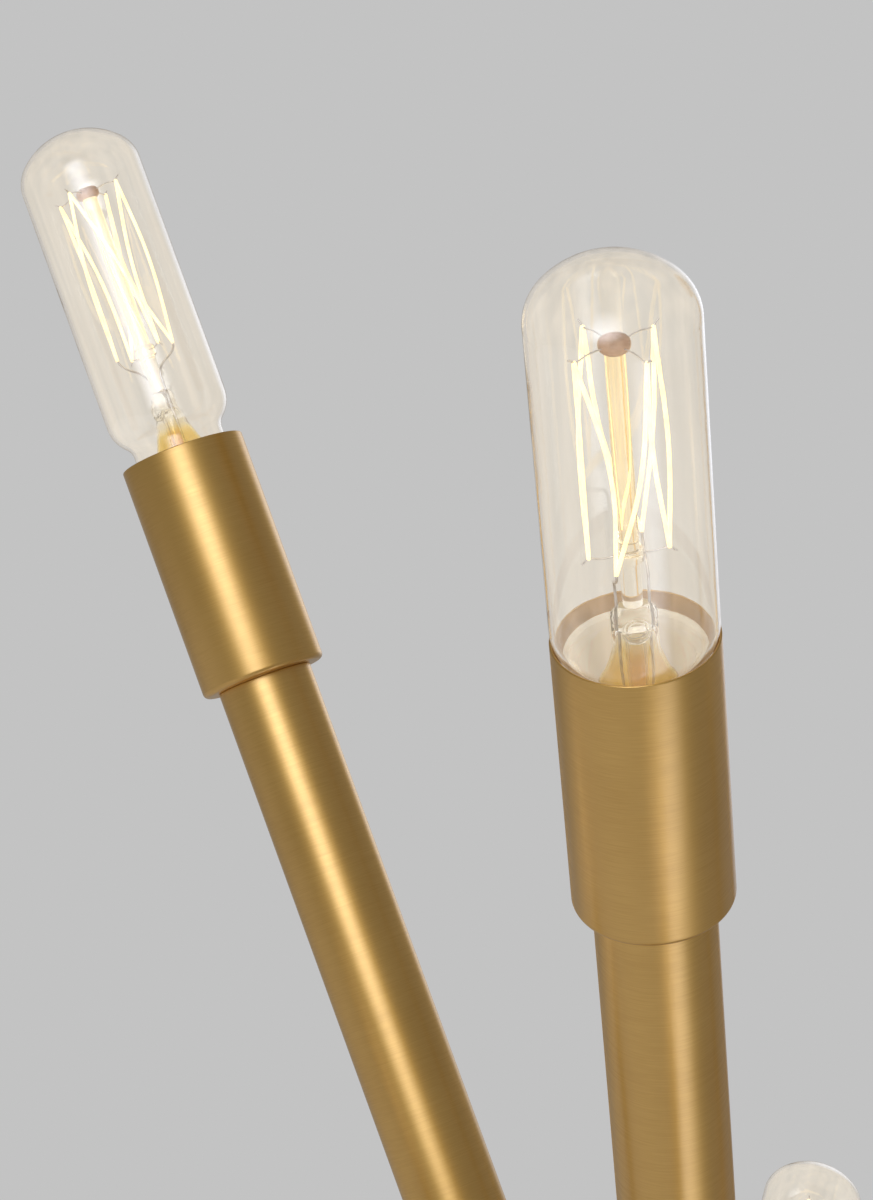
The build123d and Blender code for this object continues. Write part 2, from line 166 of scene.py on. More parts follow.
class LampSettings(bpy.types.PropertyGroup):
    """Sizes and tones of the lamps"""

    glass_wall: FloatProperty(
        name="Glass wall", description="Wall of the bulb", default=0.8 * MM,
        subtype="DISTANCE", unit="LENGTH",
    )
    neck_step: FloatProperty(
        name="Neck step", description="How far the neck is inside the bulb", default=4.15 * MM,
        subtype="DISTANCE", unit="LENGTH",
    )
    neck_round: FloatProperty(
        name="Neck rounding", description="Hollow rounding between neck and shoulder", default=4.0 * MM,
        subtype="DISTANCE", unit="LENGTH",
    )
    skin: FloatProperty(
        name="Skin", description="How far the drawn glass stays inside the packed one", default=0.02 * MM,
        subtype="DISTANCE", unit="LENGTH",
    )
    shoulder_round: FloatProperty(
        name="Shoulder rounding", description="Rounding from neck to bulb", default=9.0 * MM,
        subtype="DISTANCE", unit="LENGTH",
    )
    shoulder_lift: FloatProperty(
        name="Shoulder lift", description="Height of the shoulder above the cup's rim", default=3.12 * MM,
        subtype="DISTANCE", unit="LENGTH",
    )
    dome_height: FloatProperty(
        name="Dome height", description="Height of the rounded end", default=12.5 * MM,
        subtype="DISTANCE", unit="LENGTH",
    )
    dome_corner: FloatProperty(
        name="Dome corner", description="Rounding where the side turns into the end", default=9.5 * MM,
        subtype="DISTANCE", unit="LENGTH",
    )
    stem_tube_r: FloatProperty(
        name="Stem tube radius", description="Radius of the inner glass tube", default=4.6 * MM,
        subtype="DISTANCE", unit="LENGTH",
    )
    press_lift: FloatProperty(
        name="Press lift", description="Top of the pressed tube above the cup's rim", default=8.0 * MM,
        subtype="DISTANCE", unit="LENGTH",
    )
    hollow_lift: FloatProperty(
        name="Hollow lift", description="Top of the tube's hollow above the cup's rim", default=3.0 * MM,
        subtype="DISTANCE", unit="LENGTH",
    )
    exhaust_r: FloatProperty(
        name="Exhaust radius", description="Inner radius of the exhaust tube in the stem", default=1.5 * MM,
        subtype="DISTANCE", unit="LENGTH",
    )
    ring_r: FloatProperty(
        name="Exhaust ring radius", description="Radius of the glass ring round the exhaust hole",
        default=2.4 * MM, subtype="DISTANCE", unit="LENGTH",
    )
    rod_r: FloatProperty(
        name="Rod radius", description="Radius of the glass rod", default=2.0 * MM,
        subtype="DISTANCE", unit="LENGTH",
    )
    bead_r: FloatProperty(
        name="Bead radius", description="Radius of the glass bead", default=2.7 * MM,
        subtype="DISTANCE", unit="LENGTH",
    )
    bead_lift: FloatProperty(
        name="Bead lift", description="Foot of the bead above the cup's rim", default=18.0 * MM,
        subtype="DISTANCE", unit="LENGTH",
    )
    bead_height: FloatProperty(
        name="Bead height", description="Height of the glass bead", default=3.0 * MM,
        subtype="DISTANCE", unit="LENGTH",
    )
    button_r: FloatProperty(
        name="Button radius", description="Radius of the brown button", default=3.1 * MM,
        subtype="DISTANCE", unit="LENGTH",
    )
    button_drop: FloatProperty(
        name="Button drop", description="Top of the button below the lamp's tip", default=16.0 * MM,
        subtype="DISTANCE", unit="LENGTH",
    )
    button_height: FloatProperty(
        name="Button height", description="Height of the brown button", default=3.0 * MM,
        subtype="DISTANCE", unit="LENGTH",
    )
    cage_top_r: FloatProperty(
        name="Cage top radius", description="Reach of the upper hooks", default=9.3 * MM,
        subtype="DISTANCE", unit="LENGTH",
    )
    cage_foot_r: FloatProperty(
        name="Cage foot radius", description="Reach of the lower hooks", default=7.8 * MM,
        subtype="DISTANCE", unit="LENGTH",
    )
    strand_r: FloatProperty(
        name="Strand radius", description="Radius of a filament strand", default=0.43 * MM,
        subtype="DISTANCE", unit="LENGTH",
    )
    wire_r: FloatProperty(
        name="Hook radius", description="Radius of the hook wires", default=0.17 * MM,
        subtype="DISTANCE", unit="LENGTH",
    )
    lead_wire_r: FloatProperty(
        name="Lead radius", description="Radius of the two lead wires", default=0.3 * MM,
        subtype="DISTANCE", unit="LENGTH",
    )
    lead_reach: FloatProperty(
        name="Lead reach", description="How far from the axis the leads leave the press", default=3.1 * MM,
        subtype="DISTANCE", unit="LENGTH",
    )
    top_lean: FloatProperty(
        name="Top lean", description="Turn of the upper hooks against the lamp's front",
        default=radians(16), subtype="ANGLE", unit="ROTATION",
    )
    foot_lean: FloatProperty(
        name="Foot lean", description="Turn of the two feet that stand on the leads", default=radians(28),
        subtype="ANGLE", unit="ROTATION",
    )
    hooks: IntProperty(name="Hooks", description="Upper hooks of the filament cage", default=4)
    thread_turns: IntProperty(
        name="Thread turns", description="Turns of the cap's rolled thread", default=4
    )
    glow: FloatProperty(
        name="Filament glow", description="Strength of the filament's light", default=1.4, min=0
    )
    holder_glow: FloatProperty(
        name="Holder glow", description="Strength of the lamp's light in the white holder", default=0.22,
        min=0,
    )
    # Painted glow of the bulb glass, standing in for the filament's light in it
    painted_veil: FloatProperty(
        name="Glass veil", description="Strength of the warm haze in the glass", default=0.074, min=0
    )


class StageSettings(bpy.types.PropertyGroup):
    """Camera, backdrop and lights"""

    camera_place: FloatVectorProperty(
        name="Camera place", description="Where the camera stands", default=(-0.52622, -0.77172, -0.30512),
        subtype="TRANSLATION", unit="LENGTH",
    )
    camera_right: FloatVectorProperty(
        name="Camera right", description="Direction to the picture's right",
        default=(0.878758, -0.362996, 0.309868), subtype="DIRECTION",
    )
    camera_back: FloatVectorProperty(
        name="Camera back", description="Direction from the object to the camera",
        default=(-0.393679, -0.918349, 0.040635), subtype="DIRECTION",
    )
    lens: FloatProperty(
        name="Lens", description="Focal length in millimetres", default=108.99, unit="CAMERA"
    )
    backdrop: FloatVectorProperty(
        name="Backdrop", description="Plain grey behind the object", default=(0.546, 0.546, 0.546),
        subtype="COLOR",
    )
    room: FloatVectorProperty(
        name="Room", description="Soft light from all round", default=(0.325, 0.325, 0.325),
        subtype="COLOR",
    )
    daylight: FloatVectorProperty(
        name="Daylight", description="Tone of the front, low and back lights", default=(0.94, 1.0, 1.14),
        subtype="COLOR",
    )
    floor_drop: FloatProperty(
        name="Floor drop", description="Floor below the ceiling", default=1.6,
        subtype="DISTANCE", unit="LENGTH",
    )
    floor_radius: FloatProperty(
        name="Floor radius", description="Radius of the floor", default=2.4,
        subtype="DISTANCE", unit="LENGTH",
    )
    front_power: FloatProperty(
        name="Front light", description="Power of the soft box behind the camera", default=17.5,
        unit="POWER",
    )
    low_power: FloatProperty(
        name="Low light", description="Power of the strip light low on the right", default=2.0,
        unit="POWER",
    )
    back_power: FloatProperty(
        name="Back light", description="Power of the soft box behind the object", default=3.5,
        unit="POWER",
    )
    top_power: FloatProperty(
        name="Top light", description="Power of the soft box overhead", default=21.0, unit="POWER"
    )


# Materials
def make_group(name, inputs, outputs):
    """An empty shader node group with named sockets, and its two end nodes."""
    group = bpy.data.node_groups.new(name, "ShaderNodeTree")
    for label, kind, default in inputs:
        socket = group.interface.new_socket(label, in_out="INPUT", socket_type=kind)
        if default is not None:
            socket.default_value = default
    for label, kind in outputs:
        group.interface.new_socket(label, in_out="OUTPUT", socket_type=kind)
    return group, group.nodes.new("NodeGroupInput"), group.nodes.new("NodeGroupOutput")


def noise(tree, vector, scale, detail):
    """A noise texture on a vector socket."""
    node = tree.nodes.new("ShaderNodeTexNoise")
    node.inputs["Scale"].default_value = scale
    node.inputs["Detail"].default_value = detail
    tree.links.new(vector, node.inputs["Vector"])
    return node


def spread(tree, value, low, high):
    """Maps the middle of a noise to a range."""
    node = tree.nodes.new("ShaderNodeMapRange")
    node.inputs["From Min"].default_value = NOISE_LOW
    node.inputs["From Max"].default_value = NOISE_HIGH
    node.inputs["To Min"].default_value = low
    node.inputs["To Max"].default_value = high
    tree.links.new(value, node.inputs["Value"])
    return node.outputs["Result"]


def blend_tones(tree, mask, light, dark):
    """Mixes two colour sockets by a mask."""
    node = tree.nodes.new("ShaderNodeMix")
    node.data_type = "RGBA"
    tree.links.new(mask, node.inputs["Factor"])
    tree.links.new(light, node.inputs["A"])
    tree.links.new(dark, node.inputs["B"])
    return node.outputs["Result"]


def brushed_group():
    """Fine brush lines round a turned piece, with soft clouds of tone."""
    group, start, end = make_group(
        "brush_lines",
        [
            ("Vector", "NodeSocketVector", None),
            ("Light Tone", "NodeSocketColor", None),
            ("Dark Tone", "NodeSocketColor", None),
        ],
        [("Color", "NodeSocketColor"), ("Roughness", "NodeSocketFloat"), ("Height", "NodeSocketFloat")],
    )
    strokes_per_metre = (130, 130, 4200)
    clouds_per_metre = 45.0
    line_share, cloud_share = 0.6, 0.4
    smooth, dull = 0.36, 0.45
    stretch = group.nodes.new("ShaderNodeMapping")
    stretch.inputs["Scale"].default_value = strokes_per_metre
    group.links.new(start.outputs["Vector"], stretch.inputs["Vector"])
    lines = noise(group, stretch.outputs["Vector"], scale=1.0, detail=3.0).outputs["Fac"]
    clouds = noise(group, start.outputs["Vector"], scale=clouds_per_metre, detail=2.0).outputs["Fac"]
    both = group.nodes.new("ShaderNodeMath")
    both.operation = "MULTIPLY_ADD"
    both.inputs[1].default_value = line_share
    group.links.new(spread(group, lines, 0.0, 1.0), both.inputs[0])
    group.links.new(spread(group, clouds, 0.0, cloud_share), both.inputs[2])
    mask = both.outputs["Value"]
    colour = blend_tones(group, mask, start.outputs["Light Tone"], start.outputs["Dark Tone"])
    group.links.new(colour, end.inputs["Color"])
    group.links.new(spread(group, lines, smooth, dull), end.inputs["Roughness"])
    group.links.new(lines, end.inputs["Height"])
    return group


def mottle_group():
    """Soft uneven tone, for glass, glaze, plating and wire."""
    group, start, end = make_group(
        "soft_mottle",
        [
            ("Vector", "NodeSocketVector", None),
            ("Scale", "NodeSocketFloat", 100.0),
            ("Light Tone", "NodeSocketColor", None),
            ("Dark Tone", "NodeSocketColor", None),
            ("Smooth", "NodeSocketFloat", 0.2),
            ("Dull", "NodeSocketFloat", 0.4),
        ],
        [("Color", "NodeSocketColor"), ("Roughness", "NodeSocketFloat"), ("Height", "NodeSocketFloat")],
    )
    texture = noise(group, start.outputs["Vector"], scale=1.0, detail=3.0)
    group.links.new(start.outputs["Scale"], texture.inputs["Scale"])
    mask = spread(group, texture.outputs["Fac"], 0.0, 1.0)
    colour = blend_tones(group, mask, start.outputs["Light Tone"], start.outputs["Dark Tone"])
    group.links.new(colour, end.inputs["Color"])
    dull = group.nodes.new("ShaderNodeMapRange")
    group.links.new(mask, dull.inputs["Value"])
    group.links.new(start.outputs["Smooth"], dull.inputs["To Min"])
    group.links.new(start.outputs["Dull"], dull.inputs["To Max"])
    group.links.new(dull.outputs["Result"], end.inputs["Roughness"])
    group.links.new(texture.outputs["Fac"], end.inputs["Height"])
    return group


def fade_group():
    """Passes from one tone to another along a lamp's axis."""
    group, start, end = make_group(
        "axis_fade",
        [
            ("Vector", "NodeSocketVector", None),
            ("Low", "NodeSocketFloat", 0.0),
            ("High", "NodeSocketFloat", 1.0),
            ("Low Tone", "NodeSocketColor", None),
            ("High Tone", "NodeSocketColor", None),
        ],
        [("Color", "NodeSocketColor")],
    )
    split = group.nodes.new("ShaderNodeSeparateXYZ")
    group.links.new(start.outputs["Vector"], split.inputs["Vector"])
    share = group.nodes.new("ShaderNodeMapRange")
    share.interpolation_type = "SMOOTHSTEP"
    group.links.new(split.outputs["Z"], share.inputs["Value"])
    group.links.new(start.outputs["Low"], share.inputs["From Min"])
    group.links.new(start.outputs["High"], share.inputs["From Max"])
    mask = share.outputs["Result"]
    colour = blend_tones(group, mask, start.outputs["Low Tone"], start.outputs["High Tone"])
    group.links.new(colour, end.inputs["Color"])
    return group


GROUPS = {}


def shared_group(name):
    """A node group, built the first time it is asked for."""
    makers = {"brush_lines": brushed_group, "soft_mottle": mottle_group, "axis_fade": fade_group}
    if name not in GROUPS:
        GROUPS[name] = makers[name]()
    return GROUPS[name]


def new_material(name, group_name, turned, bump, bump_depth):
    """A material with its surface group, the place that the group reads, and a bump."""
    material = bpy.data.materials.new(name)
    material.use_nodes = True
    tree = material.node_tree
    shader = tree.nodes["Principled BSDF"]
    surface = tree.nodes.new("ShaderNodeGroup")
    surface.node_tree = shared_group(group_name)
    if turned:
        place = tree.nodes.new("ShaderNodeAttribute")
        place.attribute_name = TURNED
        tree.links.new(place.outputs["Vector"], surface.inputs["Vector"])
    else:
        place = tree.nodes.new("ShaderNodeTexCoord")
        tree.links.new(place.outputs["Object"], surface.inputs["Vector"])
    relief = tree.nodes.new("ShaderNodeBump")
    relief.inputs["Strength"].default_value = bump
    relief.inputs["Distance"].default_value = bump_depth
    tree.links.new(surface.outputs["Height"], relief.inputs["Height"])
    tree.links.new(relief.outputs["Normal"], shader.inputs["Normal"])
    return material, tree, shader, surface


def brass_material(turned):
    """Satin brass brushed round the turned pieces, under a thin lacquer."""
    brass = bpy.context.scene.chandelier_brass
    name = "brushed_brass_turned" if turned else "brushed_brass_upright"
    material, tree, shader, surface = new_material(
        name, "brush_lines", turned, bump=0.09, bump_depth=0.05 * MM
    )
    surface.inputs["Light Tone"].default_value = (*brass.light_tone, 1)
    surface.inputs["Dark Tone"].default_value = (*brass.dark_tone, 1)
    tree.links.new(surface.outputs["Color"], shader.inputs["Base Color"])
    tree.links.new(surface.outputs["Roughness"], shader.inputs["Roughness"])
    shader.inputs["Metallic"].default_value = 1.0
    shader.inputs["Specular Tint"].default_value = (*brass.edge_tone, 1)
    shader.inputs["Coat Weight"].default_value = brass.lacquer
    shader.inputs["Coat Roughness"].default_value = brass.lacquer_roughness
    shader.inputs["Coat IOR"].default_value = brass.lacquer_ior
    return material


def mottled_material(name, light, dark, scale, smooth, dull, bump, metallic, turned=False):
    """A plain finish with uneven tone and gloss."""
    material, tree, shader, surface = new_material(
        name, "soft_mottle", turned, bump=bump, bump_depth=0.1 * MM
    )
    surface.inputs["Scale"].default_value = scale
    surface.inputs["Light Tone"].default_value = (*light, 1)
    surface.inputs["Dark Tone"].default_value = (*dark, 1)
    surface.inputs["Smooth"].default_value = smooth
    surface.inputs["Dull"].default_value = dull
    tree.links.new(surface.outputs["Color"], shader.inputs["Base Color"])
    tree.links.new(surface.outputs["Roughness"], shader.inputs["Roughness"])
    shader.inputs["Metallic"].default_value = metallic
    return material


def glass_material(name, light, dark, glow_light, glow_dark, glow, bump):
    """Clear drawn glass with slow waves in its surface, and faint warm streaks of painted glow that stand
    in for the filament's light in the glass.
    """
    waves_per_metre = 55.0
    streaks_per_metre = 320.0
    glow_stretch = (1, 1, 0.05)
    material, tree, shader, surface = new_material(
        name, "soft_mottle", True, bump=bump, bump_depth=0.4 * MM
    )
    surface.inputs["Scale"].default_value = waves_per_metre
    surface.inputs["Light Tone"].default_value = (*light, 1)
    surface.inputs["Dark Tone"].default_value = (*dark, 1)
    tree.links.new(surface.outputs["Color"], shader.inputs["Base Color"])
    shader.inputs["Roughness"].default_value = 0.0
    shader.inputs["IOR"].default_value = 1.48
    shader.inputs["Transmission Weight"].default_value = 1.0
    # Painted glow: warm streaks of emission in the glass stand in for the filament's light, stretched along
    # the lamp's axis
    painted_glow_streaks = tree.nodes.new("ShaderNodeGroup")
    painted_glow_streaks.node_tree = shared_group("soft_mottle")
    drawn = tree.nodes.new("ShaderNodeMapping")
    drawn.inputs["Scale"].default_value = glow_stretch
    tree.links.new(tree.nodes["Attribute"].outputs["Vector"], drawn.inputs["Vector"])
    tree.links.new(drawn.outputs["Vector"], painted_glow_streaks.inputs["Vector"])
    painted_glow_streaks.inputs["Scale"].default_value = streaks_per_metre
    painted_glow_streaks.inputs["Light Tone"].default_value = (*glow_light, 1)
    painted_glow_streaks.inputs["Dark Tone"].default_value = (*glow_dark, 1)
    tree.links.new(painted_glow_streaks.outputs["Color"], shader.inputs["Emission Color"])
    shader.inputs["Emission Strength"].default_value = glow
    return material


def foot_tone_and_painted_glow(material, low, high, tone, glow):
    """Lets a glass turn to another tone toward its foot, and its painted glow to another glow."""
    tree = material.node_tree
    shader = tree.nodes["Principled BSDF"]
    for socket, low_tone in (("Base Color", tone), ("Emission Color", glow)):
        upper = shader.inputs[socket].links[0].from_socket
        fade = tree.nodes.new("ShaderNodeGroup")
        fade.node_tree = shared_group("axis_fade")
        tree.links.new(tree.nodes["Attribute"].outputs["Vector"], fade.inputs["Vector"])
        fade.inputs["Low"].default_value = low
        fade.inputs["High"].default_value = high
        fade.inputs["Low Tone"].default_value = (*low_tone, 1)
        tree.links.new(upper, fade.inputs["High Tone"])
        tree.links.new(fade.outputs["Color"], shader.inputs[socket])


def filament_material():
    """Glowing wire, a little hotter in places."""
    lamp = bpy.context.scene.chandelier_lamp
    patches_per_metre = 260.0
    material, tree, shader, surface = new_material(
        "glowing_filament", "soft_mottle", True, bump=0.1, bump_depth=0.05 * MM
    )
    surface.inputs["Scale"].default_value = patches_per_metre
    surface.inputs["Light Tone"].default_value = (1.0, 0.83, 0.46, 1)
    surface.inputs["Dark Tone"].default_value = (1.0, 0.75, 0.34, 1)
    tree.links.new(surface.outputs["Color"], shader.inputs["Base Color"])
    tree.links.new(surface.outputs["Color"], shader.inputs["Emission Color"])
    tree.links.new(surface.outputs["Roughness"], shader.inputs["Roughness"])
    shader.inputs["Emission Strength"].default_value = lamp.glow
    return material


# Mesh helpers
def line_to(bm, last, radius, height):
    """Draws the profile on to a point."""
    grown = bmesh.ops.extrude_vert_indiv(bm, verts=[last])["verts"][0]
    grown.co = (radius, 0, height)
    return grown


def arc_to(bm, last, centre, turn, steps):
    """Draws the profile on round a centre; a positive turn goes from outwards to upwards."""
    swept = bmesh.ops.spin(
        bm, geom=[last], cent=(centre[0], 0, centre[1]), axis=(0, -1, 0), dvec=(0, 0, 0),
        angle=turn, steps=steps,
    )
    return next(part for part in swept["geom_last"] if isinstance(part, bmesh.types.BMVert))


def draw_outline(bm, points, closed):
    """Draws straight runs through radius and height pairs, and returns their vertices."""
    verts = [bm.verts.new((points[0][0], 0, points[0][1]))]
    for radius, height in points[1:]:
        verts.append(line_to(bm, verts[-1], radius, height))
    if closed:
        bm.edges.new((verts[-1], verts[0]))
    return verts


def round_corner(bm, corner, size, steps=6):
    """Rounds one corner of a profile."""
    bmesh.ops.bevel(
        bm, geom=[corner], offset=size, offset_type="OFFSET", segments=steps, profile=0.5,
        affect="VERTICES", material=-1, clamp_overlap=True,
    )


def turn_profile(bm, steps=96):
    """Spins the drawn profile round the Z axis into a closed skin."""
    bmesh.ops.spin(
        bm, geom=bm.verts[:] + bm.edges[:], cent=(0, 0, 0), axis=(0, 0, 1), dvec=(0, 0, 0), angle=tau,
        steps=steps, use_merge=True, use_duplicate=False,
    )
    bmesh.ops.remove_doubles(bm, verts=bm.verts[:], dist=MERGE_GAP)
    bmesh.ops.dissolve_degenerate(bm, edges=bm.edges[:], dist=SLIVER)
    bmesh.ops.recalc_face_normals(bm, faces=bm.faces[:])


def place_piece(bm, name, number, material, body, node):
    """Keeps the turned place of each vertex, moves the mesh to its light and lets it ride."""
    places = PLACES if body == "light_frame" else LAMP_PLACES
    kept = bm.verts.layers.float_vector.new(TURNED)
    for vert in bm.verts:
        vert[kept] = vert.co.copy()
    bmesh.ops.transform(bm, matrix=places[number], verts=bm.verts[:])
    for face in bm.faces:
        face.smooth = True
    mesh = bpy.data.meshes.new(f"{name}_{number}")
    bm.to_mesh(mesh)
    bm.free()
    mesh.set_sharp_from_angle(angle=SHARP_ANGLE)
    piece = bpy.data.objects.new(f"{name}_{number}", mesh)
    bpy.context.scene.collection.objects.link(piece)
    mesh.materials.append(material)
    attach(piece, body)
    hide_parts(node)


def wire_mesh(bm, runs, radius):
    """Adds smooth round wires that follow the given runs of points."""
    curve = bpy.data.curves.new("wire", "CURVE")
    curve.dimensions = "3D"
    curve.bevel_depth = radius
    curve.bevel_resolution = 3
    curve.use_fill_caps = True
    for points in runs:
        spline = curve.splines.new("NURBS")
        spline.points.add(len(points) - 1)
        for point, place in zip(spline.points, points):
            point.co = (*place, 1)
        spline.order_u = 3
        spline.use_endpoint_u = True
        spline.resolution_u = 6
    holder = bpy.data.objects.new("wire", curve)
    mesh = bpy.data.meshes.new_from_object(holder)
    bm.from_mesh(mesh)
    bpy.data.meshes.remove(mesh)
    bpy.data.objects.remove(holder)
    bpy.data.curves.remove(curve)
    bmesh.ops.remove_doubles(bm, verts=bm.verts[:], dist=SLIVER)
    bmesh.ops.recalc_face_normals(bm, faces=bm.faces[:])


def ring_point(radius, angle, height):
    """A point at an angle round a lamp's axis."""
    return Vector((radius * cos(angle), radius * sin(angle), height))


class CHANDELIER_OT_arms(bpy.types.Operator):
    """Eight brushed arm tubes"""

    bl_idname = "chandelier.arms"
    bl_label = "Arm tubes"

    def execute(self, context):
        brass = context.scene.chandelier_brass
        finish = brass_material(True)
        bore = ARM_R - brass.arm_wall
        for number in LIGHTS:
            bm = bmesh.new()
            outline = [
                (brass.bolt_hole, ARM_FOOT),
                (ARM_R, ARM_FOOT),
                (ARM_R, ARM_TOP),
                (brass.bolt_hole, ARM_TOP),
                (brass.bolt_hole, ARM_TOP - brass.arm_plug),
                (bore, ARM_TOP - brass.arm_plug),
                (bore, ARM_FOOT + brass.arm_plug),
                (brass.bolt_hole, ARM_FOOT + brass.arm_plug),
            ]
            verts = draw_outline(bm, outline, True)
            for corner in verts[1:3]:
                round_corner(bm, corner, brass.rim_round)
            turn_profile(bm)
            place_piece(bm, "arm", number, finish, "light_frame", f"arm_tube_{number}")
        return {"FINISHED"}


class CHANDELIER_OT_cups(bpy.types.Operator):
    """Eight drawn socket cups with a rolled rim"""

    bl_idname = "chandelier.cups"
    bl_label = "Socket cups"

    def execute(self, context):
        brass = context.scene.chandelier_brass
        finish = bpy.data.materials["brushed_brass_turned"]
        bore = CUP_R - brass.cup_wall
        floor = CUP_FOOT + brass.cup_floor
        for number in LIGHTS:
            bm = bmesh.new()
            outline = [
                (brass.bolt_hole, CUP_FOOT),
                (CUP_R, CUP_FOOT),
                (CUP_R, CUP_RIM),
                (bore, CUP_RIM),
                (bore, floor),
                (brass.bolt_hole, floor),
            ]
            verts = draw_outline(bm, outline, True)
            round_corner(bm, verts[1], brass.cup_edge, steps=10)
            round_corner(bm, verts[2], brass.rim_round)
            round_corner(bm, verts[3], brass.rim_round)
            turn_profile(bm, WIDE_TURN_STEPS)
            place_piece(bm, "cup", number, finish, "light_frame", f"socket_cup_{number}")
        return {"FINISHED"}


class CHANDELIER_OT_glass(bpy.types.Operator):
    """Eight tubular glass bulbs with a rounded end and shoulder"""

    bl_idname = "chandelier.glass"
    bl_label = "Glass bulbs"

    def execute(self, context):
        lamp = context.scene.chandelier_lamp
        finish = glass_material(
            "clear_bulb_glass",
            light=(1.0, 0.99, 0.955), dark=(0.985, 0.965, 0.915),
            glow_light=(1.0, 0.8, 0.58), glow_dark=(0.34, 0.26, 0.17), glow=lamp.painted_veil, bump=0.12,
        )
        for number in LIGHTS:
            bm = bmesh.new()
            self.draw_bulb(bm, lamp)
            turn_profile(bm, WIDE_TURN_STEPS)
            place_piece(
                bm, "bulb", number, finish, f"bulb_{number}", f"bulb_glass_{number}"
            )
        return {"FINISHED"}

    def draw_bulb(self, bm, lamp):
        """Profile of the glass wall: inside from the tip down, round the neck, outside up to the tip."""
        crown_steps, corner_steps, shoulder_steps, neck_steps = 14, 12, 12, 10
        wall = lamp.glass_wall
        side = GLASS_R - lamp.skin
        tip = GLASS_TIP - lamp.skin
        neck = side - lamp.neck_step
        shoulder = (side - lamp.shoulder_round, CUP_RIM + lamp.shoulder_lift)
        reach_out = neck + lamp.neck_round - shoulder[0]
        both = lamp.shoulder_round + lamp.neck_round
        bend = acos(reach_out / both)
        hollow = (neck + lamp.neck_round, shoulder[1] - both * sin(bend))
        corner = (side - lamp.dome_corner, tip - lamp.dome_height)
        rise = lamp.dome_height - lamp.dome_corner
        crown_r = (corner[0] ** 2 + lamp.dome_height**2 - lamp.dome_corner**2) / (2 * rise)
        crown = (0, tip - crown_r)
        corner_turn = atan2(crown_r - lamp.dome_height, corner[0])
        crown_turn = pi / 2 - corner_turn
        last = bm.verts.new((0, 0, tip - wall))
        last = arc_to(bm, last, crown, -crown_turn, crown_steps)
        last = arc_to(bm, last, corner, -corner_turn, corner_steps)
        last = line_to(bm, last, side - wall, shoulder[1])
        last = arc_to(bm, last, shoulder, -bend, shoulder_steps)
        last = arc_to(bm, last, hollow, bend, neck_steps)
        last = line_to(bm, last, neck - wall, NECK_FOOT)
        last = line_to(bm, last, neck, NECK_FOOT)
        last = line_to(bm, last, neck, hollow[1])
        last = arc_to(bm, last, hollow, -bend, neck_steps)
        last = arc_to(bm, last, shoulder, bend, shoulder_steps)
        last = line_to(bm, last, side, corner[1])
        last = arc_to(bm, last, corner, corner_turn, corner_steps)
        arc_to(bm, last, crown, crown_turn, crown_steps)


